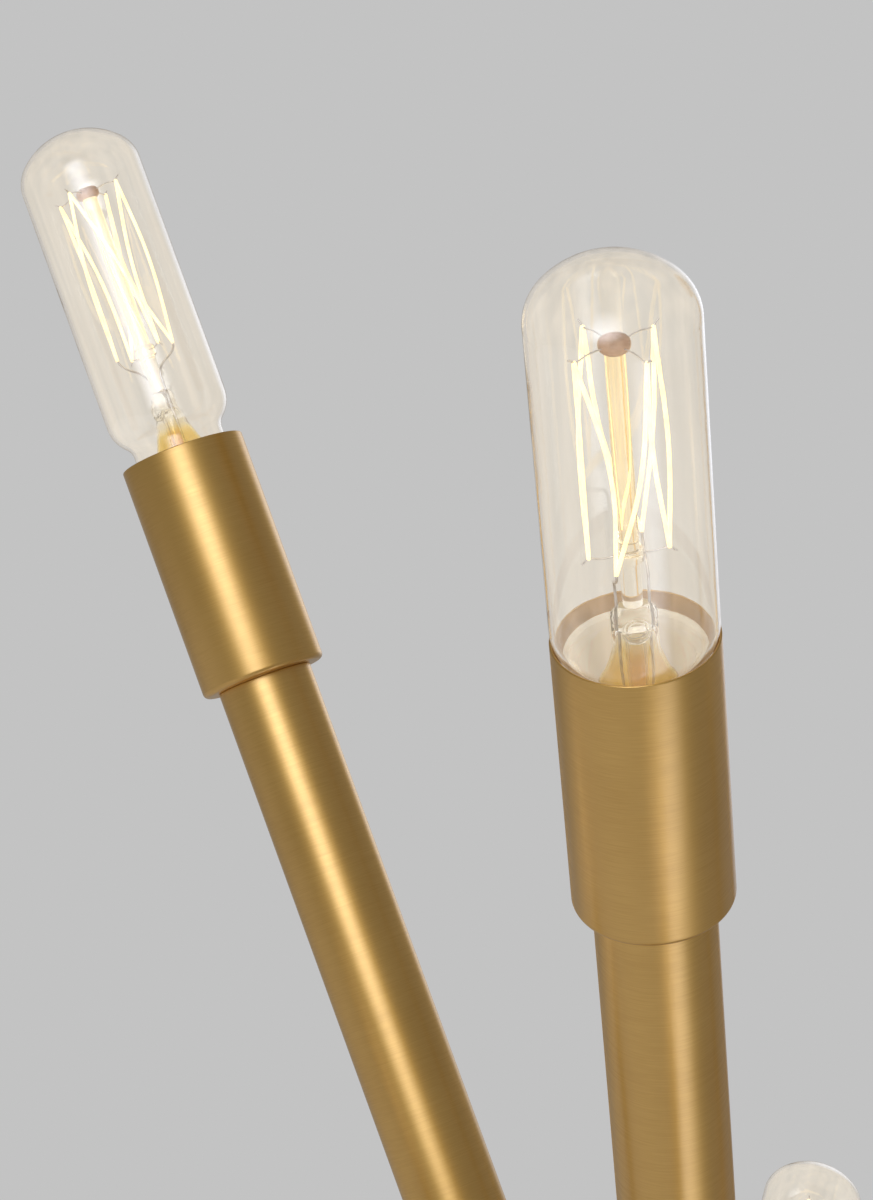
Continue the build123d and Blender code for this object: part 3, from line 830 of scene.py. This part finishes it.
class CHANDELIER_OT_mounts(bpy.types.Operator):
    """Glass stem with its press, exhaust tube, rod, bead and button in each lamp"""

    bl_idname = "chandelier.mounts"
    bl_label = "Glass mounts"

    def execute(self, context):
        lamp = context.scene.chandelier_lamp
        clear = glass_material(
            "clear_stem_glass",
            light=(1.0, 0.99, 0.96), dark=(0.98, 0.96, 0.9),
            glow_light=(1.0, 0.86, 0.6), glow_dark=(1.0, 0.78, 0.45), glow=0.02, bump=0.15,
        )
        # Painted reflection and glow: the stem's foot turns amber and glows amber where the cup's brass and
        # the cap would show in the glass
        foot_tone_and_painted_glow(
            clear,
            low=CUP_RIM - 6.0 * MM, high=CUP_RIM + 0.5 * MM,
            tone=(0.93, 0.77, 0.28), glow=(1.2, 0.65, 0.12),
        )
        amber = glass_material(
            "amber_rod_glass",
            light=(1.0, 0.92, 0.71), dark=(0.97, 0.85, 0.56),
            glow_light=(1.0, 0.74, 0.36), glow_dark=(1.0, 0.66, 0.26), glow=0.1, bump=0.2,
        )
        bead = CUP_RIM + lamp.bead_lift
        # Below the bead the rod turns pale and its painted glow dims
        foot_tone_and_painted_glow(
            amber, low=bead - 3 * MM, high=bead + 9 * MM, tone=(0.97, 0.95, 0.9), glow=(0.3, 0.25, 0.18)
        )
        brown = mottled_material(
            "brown_button_glass",
            light=(0.62, 0.4, 0.28), dark=(0.4, 0.22, 0.13),
            scale=330.0, smooth=0.12, dull=0.3, bump=0.1, metallic=0.0, turned=True,
        )
        for number in LIGHTS:
            body = f"bulb_{number}"
            node = f"bulb_glass_{number}"
            bm = bmesh.new()
            self.draw_stem(bm, lamp)
            place_piece(bm, "stem_tube", number, clear, body, node)
            bm = bmesh.new()
            self.draw_rod(bm, lamp)
            place_piece(bm, "glass_rod", number, amber, body, node)
            bm = bmesh.new()
            self.draw_button(bm, lamp)
            place_piece(bm, "button", number, brown, body, node)
        return {"FINISHED"}

    def draw_stem(self, bm, lamp):
        """Tube with a flared foot and a pinched press, its exhaust tube, and a ring at the exhaust hole."""
        wall = 0.55 * MM
        gap = 0.15 * MM
        bell_round = 3 * MM
        long_edge = 4 * MM
        pinch_height = 6 * MM
        pinch = 0.45
        outside = lamp.stem_tube_r
        flare = GLASS_R - lamp.neck_step - lamp.glass_wall - gap
        press = CUP_RIM + lamp.press_lift
        hollow = CUP_RIM + lamp.hollow_lift
        bell_side, bell_neck = 0.82 * flare, 1.2 * outside
        side_drop, neck_drop, tube_drop = 14 * MM, 6 * MM, 2 * MM
        bell = [
            (flare, NECK_FOOT + gap),
            (bell_side, CUP_RIM - side_drop),
            (bell_neck, CUP_RIM - neck_drop),
            (outside, CUP_RIM - tube_drop),
        ]
        outline = [(0, hollow), (outside - 2 * wall, hollow - wall), (outside - wall, hollow - 4 * wall)]
        outline += [(radius - wall, height) for radius, height in reversed(bell)]
        outline += bell
        outline += [(outside, press - 3 * wall), (lamp.rod_r + 2 * wall, press), (0, press)]
        verts = draw_outline(bm, outline, False)
        for corner in (verts[11], verts[12]):
            round_corner(bm, corner, wall)
        for corner in (verts[4], verts[5], verts[8], verts[9]):
            round_corner(bm, corner, bell_round)
        foot, top = NECK_FOOT + gap, hollow - 4 * wall
        inner, outer = lamp.exhaust_r, lamp.exhaust_r + wall
        draw_outline(bm, [(inner, foot), (outer, foot), (outer, top), (inner, top)], True)
        runs = [edge for edge in bm.edges if edge.calc_length() > long_edge]
        bmesh.ops.subdivide_edges(bm, edges=runs, cuts=10)
        turn_profile(bm, steps=64)
        pinch_foot = hollow - pinch_height
        for vert in bm.verts:
            share = min(max((vert.co.z - pinch_foot) / (hollow - pinch_foot), 0.0), 1.0)
            vert.co.x *= 1 - pinch * share * share * (3 - 2 * share)
        self.draw_ring(bm, Vector((outside * (1 - pinch), 0, hollow)), lamp.ring_r, wall)
        to_leads = Matrix.Rotation(pi / lamp.hooks, 3, "Z")
        bmesh.ops.rotate(bm, verts=bm.verts[:], cent=(0, 0, 0), matrix=to_leads)

    def draw_ring(self, bm, centre, radius, wall):
        """A bead of glass round the exhaust hole, facing along X."""
        side = Matrix.Translation(centre + Vector((0, radius, 0)))
        circle = bmesh.ops.create_circle(bm, cap_ends=False, radius=wall, segments=14, matrix=side)
        section = circle["verts"]
        edges = list({edge for vert in section for edge in vert.link_edges})
        bmesh.ops.spin(
            bm, geom=section + edges, cent=centre, axis=(1, 0, 0), dvec=(0, 0, 0), angle=tau, steps=40,
            use_merge=True, use_duplicate=False,
        )
        bmesh.ops.recalc_face_normals(bm, faces=bm.faces[:])

    def draw_rod(self, bm, lamp):
        """Rod from the press to the button, with its bead."""
        seat = 0.05 * MM
        bead_round = 0.6 * MM
        press = CUP_RIM + lamp.press_lift
        bead = CUP_RIM + lamp.bead_lift
        top = GLASS_TIP - lamp.button_drop - lamp.button_height
        outline = [
            (0, press + seat),
            (lamp.rod_r, press + seat),
            (lamp.rod_r, bead),
            (lamp.bead_r, bead),
            (lamp.bead_r, bead + lamp.bead_height),
            (lamp.rod_r, bead + lamp.bead_height),
            (lamp.rod_r, top - seat),
            (0, top - seat),
        ]
        verts = draw_outline(bm, outline, False)
        for corner in verts[2:6]:
            round_corner(bm, corner, bead_round, steps=5)
        turn_profile(bm, SMALL_TURN_STEPS)

    def draw_button(self, bm, lamp):
        """Softened glass button that grips the upper hooks."""
        edge_round = 1.35 * MM
        top = GLASS_TIP - lamp.button_drop
        foot = top - lamp.button_height
        outline = [(0, foot), (lamp.button_r, foot), (lamp.button_r, top), (0, top)]
        verts = draw_outline(bm, outline, False)
        for corner in verts[1:3]:
            round_corner(bm, corner, edge_round, steps=8)
        turn_profile(bm, SMALL_TURN_STEPS)


class CHANDELIER_OT_caps(bpy.types.Operator):
    """Screw caps with a rolled helical thread"""

    bl_idname = "chandelier.caps"
    bl_label = "Screw caps"

    def execute(self, context):
        metal = mottled_material(
            "cap_metal",
            light=(0.8, 0.79, 0.76), dark=(0.62, 0.61, 0.57),
            scale=420.0, smooth=0.22, dull=0.42, bump=0.08, metallic=1.0, turned=True,
        )
        for number in LIGHTS:
            bm = bmesh.new()
            self.draw_cap(bm, context.scene.chandelier_lamp)
            place_piece(bm, "cap", number, metal, f"bulb_{number}", f"bulb_cap_{number}")
        return {"FINISHED"}

    def draw_cap(self, bm, lamp):
        """Tip, cone, threaded shell and skirt, with the ridge wound round the shell."""
        depth = 0.8 * MM
        wall = 0.7 * MM
        tip_r = 4.5 * MM
        tip = 1.5 * MM
        cone = 3.5 * MM
        skirt = 7.5 * MM
        tip_round = 0.6 * MM
        cone_round = 0.5 * MM
        lip_round = 0.25 * MM
        steps_per_turn = 48
        core = CAP_R - depth
        shell_foot = CAP_FOOT + tip + cone
        shell_top = CAP_TOP - skirt
        bore = CAP_R - wall
        inside = shell_top + wall
        outline = [
            (0, CAP_FOOT),
            (tip_r, CAP_FOOT),
            (tip_r, CAP_FOOT + tip),
            (core, shell_foot),
            (core, shell_top),
            (CAP_R, shell_top + depth),
            (CAP_R, CAP_TOP),
            (bore, CAP_TOP),
            (bore, inside),
            (0, inside),
        ]
        verts = draw_outline(bm, outline, False)
        round_corner(bm, verts[1], tip_round)
        round_corner(bm, verts[3], cone_round)
        round_corner(bm, verts[6], lip_round)
        turn_profile(bm, steps=72)
        pitch = (shell_top - shell_foot) / lamp.thread_turns
        ridge = bmesh.ops.create_circle(
            bm, cap_ends=True, radius=depth, segments=12,
            matrix=Matrix.Translation((core, 0, shell_foot + pitch / 2)) @ Matrix.Rotation(pi / 2, 4, "X"),
        )
        faces = list({face for vert in ridge["verts"] for face in vert.link_faces})
        turns = lamp.thread_turns - 1
        steps = steps_per_turn * turns
        bmesh.ops.spin(
            bm, geom=faces, cent=(0, 0, 0), axis=(0, 0, 1), dvec=(0, 0, pitch * turns / steps),
            angle=tau * turns, steps=steps, use_merge=False, use_duplicate=False,
        )
        bmesh.ops.recalc_face_normals(bm, faces=bm.faces[:])


class CHANDELIER_OT_filaments(bpy.types.Operator):
    """Filament cage, its hooks and the two leads in each lamp"""

    bl_idname = "chandelier.filaments"
    bl_label = "Filaments"

    def execute(self, context):
        lamp = context.scene.chandelier_lamp
        glowing = filament_material()
        wire = mottled_material(
            "hook_wire",
            light=(0.84, 0.82, 0.84), dark=(0.62, 0.6, 0.6),
            scale=500.0, smooth=0.3, dull=0.5, bump=0.1, metallic=1.0, turned=True,
        )
        strands, hooks, leads = self.routes(lamp)
        for number in LIGHTS:
            body = f"bulb_{number}"
            node = f"bulb_filament_{number}"
            bm = bmesh.new()
            wire_mesh(bm, strands, lamp.strand_r)
            place_piece(bm, "filament", number, glowing, body, node)
            bm = bmesh.new()
            wire_mesh(bm, hooks, lamp.wire_r)
            wire_mesh(bm, leads, lamp.lead_wire_r)
            place_piece(bm, "hooks", number, wire, body, node)
        return {"FINISHED"}

    def routes(self, lamp):
        """The strand's zigzag between hooks and leads, and the runs of the hooks and of the leads."""
        turn = 0.35 * MM
        bow = 3.4 * MM
        outward_beat, aside_beat, aside_start = 2.4, 1.9, 0.5
        lead_foot, lead_straight, lead_bend, lead_end = 3 * MM, 1 * MM, 6 * MM, 2 * MM
        step = tau / lamp.hooks
        high = GLASS_TIP - lamp.button_drop - lamp.button_height / 2
        low = CUP_RIM + lamp.bead_lift + lamp.bead_height / 2
        press = CUP_RIM + lamp.press_lift
        foot_angles = [
            (k + 0.5) * step - (lamp.foot_lean if k % 2 == 0 else 0) for k in range(lamp.hooks)
        ]
        feet = [ring_point(lamp.cage_foot_r, angle, low) for angle in foot_angles]
        top_angles = [k * step - lamp.top_lean for k in range(lamp.hooks)]
        tops = [ring_point(lamp.cage_top_r, angle, high) for angle in top_angles]
        stops = [feet[0]]
        for k in range(1, lamp.hooks):
            stops += [tops[k], feet[k]]
        stops += [tops[0], feet[0]]
        strand = [stops[0]]
        for index, (here, after) in enumerate(zip(stops, stops[1:])):
            middle = (here + after) / 2
            outward = Vector((middle.x, middle.y, 0)).normalized()
            aside = Vector((-outward.y, outward.x, 0))
            strand.append(here + (after - here).normalized() * turn)
            sway = outward * cos(outward_beat * index) + aside * sin(aside_beat * index + aside_start)
            strand.append(middle + bow * sway)
            strand.append(after + (here - after).normalized() * turn)
            strand.append(after)
        hooks = [self.hook(lamp.rod_r, lamp.cage_top_r, angle, high, turn) for angle in top_angles]
        hooks += [self.hook(lamp.rod_r, lamp.cage_foot_r, angle, low, -turn) for angle in foot_angles[1::2]]
        leads = []
        for k in range(0, lamp.hooks, 2):
            angle = (k - 0.5) * step
            leads.append(
                [
                    ring_point(lamp.lead_reach, angle, NECK_FOOT + lead_foot),
                    ring_point(lamp.lead_reach, angle, press + lead_straight),
                    ring_point(lamp.lead_reach + turn, angle, press + lead_bend),
                    feet[k] - Vector((0, 0, lead_end)),
                    feet[k],
                ]
            )
        return [strand], hooks, leads

    def hook(self, start, end, angle, height, turn):
        """A thin wire from the glass out to a strand, with its curled end."""
        return [
            ring_point(start, angle, height),
            ring_point((start + end) / 2, angle, height + 2 * turn),
            ring_point(end - turn, angle, height - turn),
            ring_point(end + 2 * abs(turn), angle, height + 2 * turn),
            ring_point(end + 4 * abs(turn), angle, height + 3 * turn),
        ]


class CHANDELIER_OT_fittings(bpy.types.Operator):
    """Finishes of the hubs, stem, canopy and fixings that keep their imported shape"""

    bl_idname = "chandelier.fittings"
    bl_label = "Hubs, stem and fixings"

    def execute(self, context):
        brass = brass_material(False)
        steel = mottled_material(
            "plated_steel",
            light=(0.66, 0.66, 0.64), dark=(0.5, 0.5, 0.47),
            scale=160.0, smooth=0.25, dull=0.45, bump=0.06, metallic=1.0,
        )
        glaze = mottled_material(
            "white_glaze",
            light=(0.93, 0.92, 0.88), dark=(0.86, 0.84, 0.79),
            scale=130.0, smooth=0.12, dull=0.25, bump=0.05, metallic=0.0,
        )
        # Painted glow: the white holder shines with its own tone, standing in for the lamp's light falling
        # in it
        shader = glaze.node_tree.nodes["Principled BSDF"]
        tone = shader.inputs["Base Color"].links[0].from_socket
        glaze.node_tree.links.new(tone, shader.inputs["Emission Color"])
        shader.inputs["Emission Strength"].default_value = context.scene.chandelier_lamp.holder_glow
        cover = mottled_material(
            "wire_cover",
            light=(0.74, 0.72, 0.66), dark=(0.62, 0.6, 0.54),
            scale=260.0, smooth=0.4, dull=0.6, bump=0.05, metallic=0.0,
        )
        finishes = {
            "brushed_brass": brass, "plated_steel": steel, "white_holder": glaze, "wire_cover": cover,
        }
        nodes = {
            "brushed_brass": [
                "canopy", "canopy_ring", "swivel_yoke", "stem_eye", "stem", "column", "upper_hub_body",
                "upper_hub_cover", "lower_hub_body", "lower_hub_cover", "finial",
            ],
            "plated_steel": [
                "mounting_strap", "hanging_bolt", "strap_locknut", "swivel_pin", "upper_hub_tie",
                "lower_hub_tie", "arm_nipples",
            ],
            "white_holder": ["lampholders"],
            "wire_cover": ["lead_wires"],
        }
        for slot, names in nodes.items():
            for name in names:
                mesh = frame["nodes"][name].data
                mesh.materials.clear()
                mesh.materials.append(finishes[slot])
        return {"FINISHED"}


class CHANDELIER_OT_stage(bpy.types.Operator):
    """Floor, backdrop, soft lights and camera"""

    bl_idname = "chandelier.stage"
    bl_label = "Studio"

    def execute(self, context):
        stage = context.scene.chandelier_stage
        self.floor(stage)
        self.backdrop(context.scene, stage)
        near_lights = Vector((-0.2, -0.1, -0.38))
        floor_spot = Vector((-0.5, 0, -stage.floor_drop))
        front = self.soft_light(
            "front_box", near_lights, direction=Vector((-0.648, -0.759, 0.23)),
            distance=2.0, width=2.0, height=2.4, power=stage.front_power,
        )
        low = self.soft_light(
            "low_strip", near_lights, direction=Vector((0.51, -0.56, -0.655)),
            distance=1.3, width=0.8, height=1.5, power=stage.low_power,
        )
        self.soften(front.data, stage.daylight)
        self.soften(low.data, stage.daylight)
        top = self.soft_light(
            "top_box", floor_spot, direction=Vector((-0.28, 0.24, 1.0)),
            distance=2.6, width=1.6, height=1.6, power=stage.top_power,
        )
        top.visible_glossy = False
        top.visible_transmission = False
        back = self.soft_light(
            "back_box", near_lights, direction=Vector((0.62, 0.74, 0.3)),
            distance=2.2, width=1.6, height=2.2, power=stage.back_power,
        )
        back.visible_transmission = False
        self.soften(back.data, stage.daylight)
        self.camera(context.scene, stage)
        return {"FINISHED"}

    def floor(self, stage):
        """A plain pale disc well below the lights."""
        bm = bmesh.new()
        bmesh.ops.create_circle(
            bm, cap_ends=True, radius=stage.floor_radius, segments=160,
            matrix=Matrix.Translation((0, 0, -stage.floor_drop)),
        )
        mesh = bpy.data.meshes.new("floor")
        bm.to_mesh(mesh)
        bm.free()
        floor = bpy.data.objects.new("floor", mesh)
        bpy.context.scene.collection.objects.link(floor)
        pale = mottled_material(
            "pale_floor",
            light=(0.8, 0.8, 0.8), dark=(0.77, 0.77, 0.77),
            scale=4.0, smooth=0.6, dull=0.75, bump=0.02, metallic=0.0,
        )
        mesh.materials.append(pale)

    def backdrop(self, scene, stage):
        """Plain grey to the eye, and softer as light."""
        world = bpy.data.worlds.new("studio")
        world.use_nodes = True
        scene.world = world
        scene.view_settings.view_transform = "Standard"
        tree = world.node_tree
        path = tree.nodes.new("ShaderNodeLightPath")
        seen = tree.nodes.new("ShaderNodeMath")
        seen.operation = "MAXIMUM"
        seen.use_clamp = True
        tree.links.new(path.outputs["Is Camera Ray"], seen.inputs[0])
        tree.links.new(path.outputs["Transmission Depth"], seen.inputs[1])
        tone = tree.nodes.new("ShaderNodeMix")
        tone.data_type = "RGBA"
        tone.inputs["A"].default_value = (*stage.room, 1)
        tone.inputs["B"].default_value = (*stage.backdrop, 1)
        tree.links.new(seen.outputs["Value"], tone.inputs["Factor"])
        tree.links.new(tone.outputs["Result"], tree.nodes["Background"].inputs["Color"])

    def soft_light(self, name, target, direction, distance, width, height, power):
        """A soft box that faces a point from a direction."""
        data = bpy.data.lights.new(name, "AREA")
        data.shape = "ELLIPSE"
        data.size = width
        data.size_y = height
        data.energy = power
        light = bpy.data.objects.new(name, data)
        light.location = target + direction.normalized() * distance
        light.rotation_euler = direction.to_track_quat("Z", "Y").to_euler()
        light.visible_camera = False
        bpy.context.scene.collection.objects.link(light)
        return light

    def soften(self, light, tone):
        """Gives a soft box its tone and lets it fade from its middle to its edge."""
        centre = (0.5, 0.5, 0)
        edge_reach = 0.5
        peak = 3.3
        light.color = tone
        light.use_nodes = True
        tree = light.node_tree
        place = tree.nodes.new("ShaderNodeNewGeometry")
        reach_out = tree.nodes.new("ShaderNodeVectorMath")
        reach_out.operation = "DISTANCE"
        reach_out.inputs[1].default_value = centre
        tree.links.new(place.outputs["Parametric"], reach_out.inputs[0])
        fade = tree.nodes.new("ShaderNodeMapRange")
        fade.interpolation_type = "SMOOTHSTEP"
        fade.inputs["From Min"].default_value = edge_reach
        fade.inputs["From Max"].default_value = 0.0
        fade.inputs["To Max"].default_value = peak
        tree.links.new(reach_out.outputs["Value"], fade.inputs["Value"])
        tree.links.new(fade.outputs["Result"], tree.nodes["Emission"].inputs["Strength"])

    def camera(self, scene, stage):
        """The photograph's own view, with its tilt."""
        data = bpy.data.cameras.new("photo_view")
        data.sensor_fit = "AUTO"
        data.sensor_width = 36
        data.lens = stage.lens
        data.clip_start = 0.01
        camera = bpy.data.objects.new("photo_view", data)
        right = Vector(stage.camera_right).normalized()
        back = Vector(stage.camera_back).normalized()
        up = back.cross(right)
        turn = Matrix((right, up, back)).transposed()
        camera.matrix_world = Matrix.Translation(stage.camera_place) @ turn.to_4x4()
        scene.collection.objects.link(camera)
        scene.camera = camera


STEPS = (
    CHANDELIER_OT_arms,
    CHANDELIER_OT_cups,
    CHANDELIER_OT_glass,
    CHANDELIER_OT_mounts,
    CHANDELIER_OT_caps,
    CHANDELIER_OT_filaments,
    CHANDELIER_OT_fittings,
    CHANDELIER_OT_stage,
)


class CHANDELIER_PT_panel(bpy.types.Panel):
    """Lists the steps that dress the chandelier"""

    bl_idname = "CHANDELIER_PT_panel"
    bl_label = "Chandelier"
    bl_space_type = "VIEW_3D"
    bl_region_type = "UI"
    bl_category = "Chandelier"

    def draw(self, context):
        for step in STEPS:
            self.layout.operator(step.bl_idname)


SETTINGS = {
    "chandelier_brass": BrassSettings,
    "chandelier_lamp": LampSettings,
    "chandelier_stage": StageSettings,
}
CLASSES = (*SETTINGS.values(), *STEPS, CHANDELIER_PT_panel)


def register():
    for cls in CLASSES:
        bpy.utils.register_class(cls)
    for name, settings in SETTINGS.items():
        setattr(bpy.types.Scene, name, PointerProperty(type=settings))


def unregister():
    for name in SETTINGS:
        delattr(bpy.types.Scene, name)
    for cls in reversed(CLASSES):
        bpy.utils.unregister_class(cls)


def main():
    register()
    bpy.ops.chandelier.arms()
    bpy.ops.chandelier.cups()
    bpy.ops.chandelier.glass()
    bpy.ops.chandelier.mounts()
    bpy.ops.chandelier.caps()
    bpy.ops.chandelier.filaments()
    bpy.ops.chandelier.fittings()
    bpy.ops.chandelier.stage()


if __name__ == "__main__":
    main()
